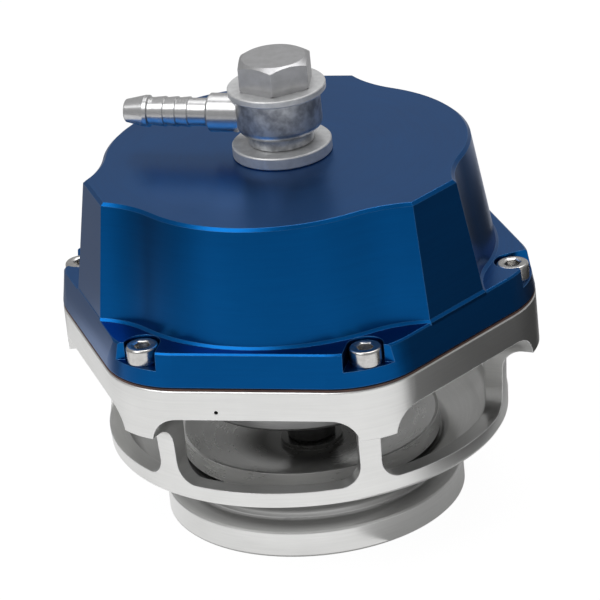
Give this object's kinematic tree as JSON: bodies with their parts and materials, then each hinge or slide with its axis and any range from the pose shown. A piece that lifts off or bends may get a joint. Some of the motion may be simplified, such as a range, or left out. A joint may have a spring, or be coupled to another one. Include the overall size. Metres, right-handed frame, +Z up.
{
  "type": "blow-off valve",
  "caption": "Spring-loaded blow-off valve: V-band inlet flange, windowed bowl, poppet on a diaphragm, lobed cap and a swivelling banjo hose tail.",
  "frame": {"origin": "centre of the V-band inlet flange's lower face, on the valve's axis", "axes": "+Z up along the valve's axis from the inlet to the banjo bolt; -Y is the side seen in front, across a flat of the hexagon with a lobe of the cap above it; the hose tail points to -X"},
  "size_m": [0.0994, 0.091, 0.0981],
  "materials": {
    "machined_aluminium": "fine machined",
    "blue_anodised_aluminium": "satin anodised",
    "stainless_steel": "turned",
    "plated_steel": "zinc plated",
    "plate_aluminium": "turned",
    "spring_steel": "oiled wire",
    "bronze": "turned",
    "black_rubber": "matte",
    "orange_rubber": "cloth-backed sheet"
  },
  "bodies": {
    "housing": {"body": "machined_aluminium", "guide_carrier": "machined_aluminium", "carrier_seal": "black_rubber", "guide_bush": "bronze", "stem_seal": "black_rubber", "diaphragm": "orange_rubber", "cap": "blue_anodised_aluminium", "cap_screw_1": "stainless_steel", "cap_screw_2": "stainless_steel", "cap_screw_3": "stainless_steel", "cap_screw_4": "stainless_steel", "cap_screw_5": "stainless_steel", "cap_screw_6": "stainless_steel", "banjo_bolt": "plated_steel", "banjo_washer_lower": "plated_steel", "banjo_washer_upper": "plated_steel", "spring_outer": "spring_steel", "spring_inner": "spring_steel"},
    "valve": {"valve_disc": "stainless_steel", "valve_seal": "black_rubber", "valve_screw": "stainless_steel", "valve_stem": "stainless_steel", "diaphragm_plate": "plate_aluminium", "spring_cup": "plate_aluminium", "stem_washer": "stainless_steel", "stem_nut": "stainless_steel"},
    "banjo": {"banjo_eye": "plated_steel", "hose_barb": "plated_steel"}
  },
  "joints": [
    {"name": "valve_lift", "type": "slide", "parent": "housing", "child": "valve", "axis": [0, 0, 1], "range_m": [0, 0.008], "stiffness_N_per_m": 4500, "springref_m": -0.018, "deforming": ["spring_outer", "spring_inner", "diaphragm"]},
    {"name": "banjo_swivel", "type": "hinge", "parent": "housing", "child": "banjo", "pos_m": [0, 0, 0.08548], "axis": [0, 0, 1], "continuous": true}
  ]
}
